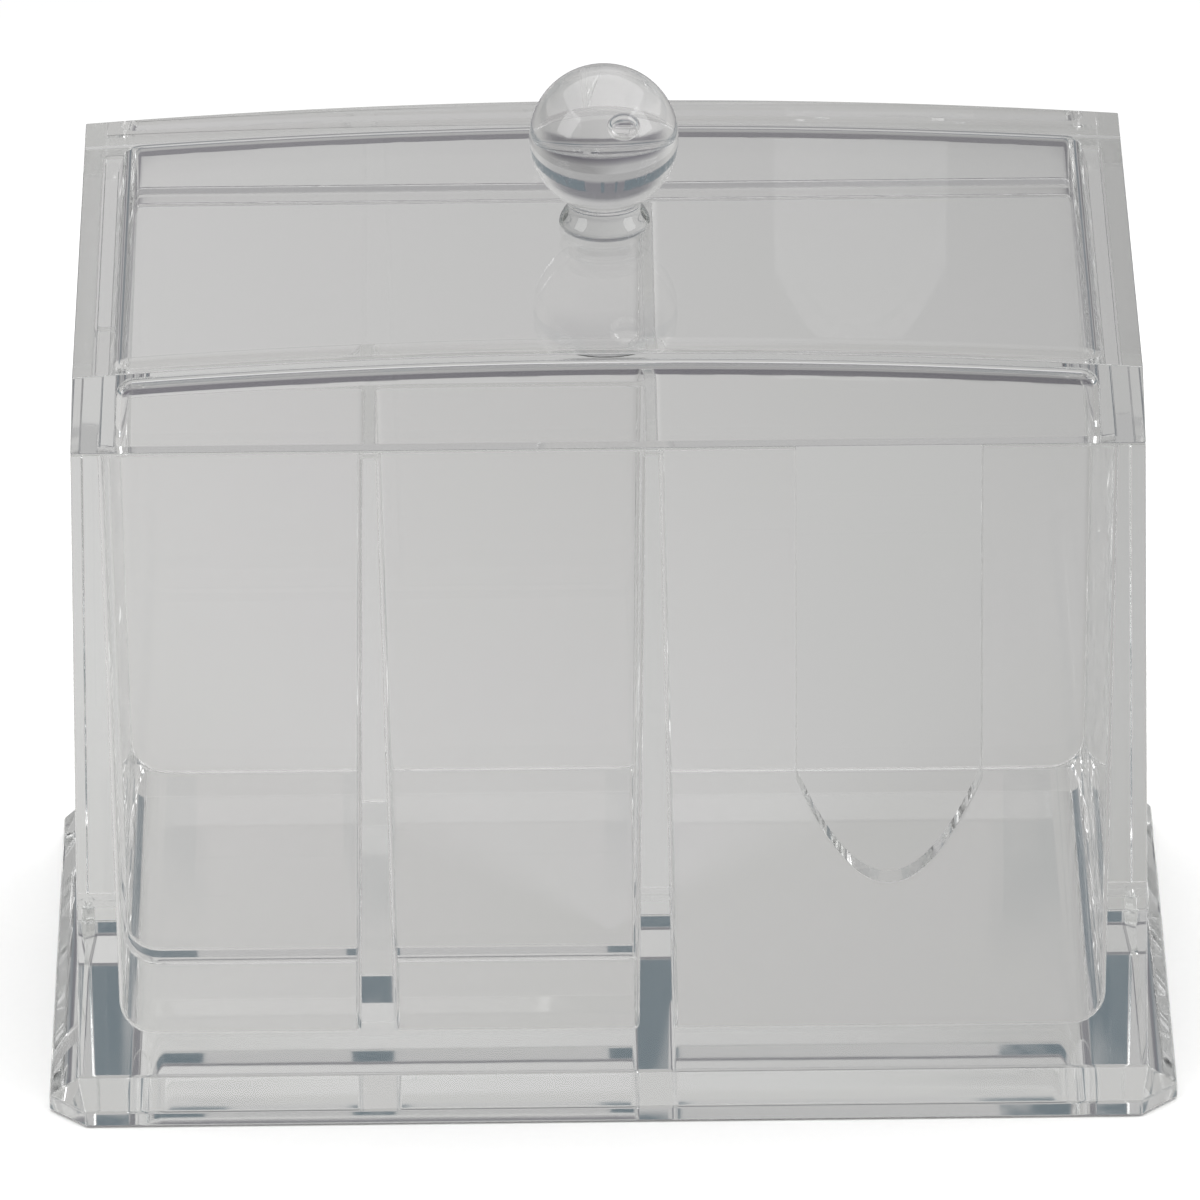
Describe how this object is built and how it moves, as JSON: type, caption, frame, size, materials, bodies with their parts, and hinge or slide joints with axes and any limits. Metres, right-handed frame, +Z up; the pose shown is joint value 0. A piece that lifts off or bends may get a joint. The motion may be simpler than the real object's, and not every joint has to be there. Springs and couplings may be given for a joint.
{
  "type": "bathroom storage container",
  "caption": "Clear moulded storage box on a flared foot, divided into bays, with a thumb slot in the front wall and an arched lift-off lid that has a ball knob.",
  "frame": {"origin": "middle of the underside, on the surface that the box stands on", "axes": "+X along the front from left to right, +Y from the front to the back, +Z up"},
  "size_m": [0.1564, 0.0954, 0.1379],
  "materials": {
    "tub_plastic": "clear, moulded and polished, water-white with a faint grey in the thick base",
    "lid_plastic": "clear, moulded and polished",
    "knob_plastic": "clear, polished all round"
  },
  "bodies": {
    "tub": {"container_tub": "tub_plastic"},
    "lid": {"lid_cover": "lid_plastic", "lid_knob": "knob_plastic"}
  },
  "joints": [
    {"name": "lid_lift", "type": "slide", "parent": "tub", "child": "lid", "axis": [0, 0, 1], "range_m": [0, 0.06]}
  ]
}
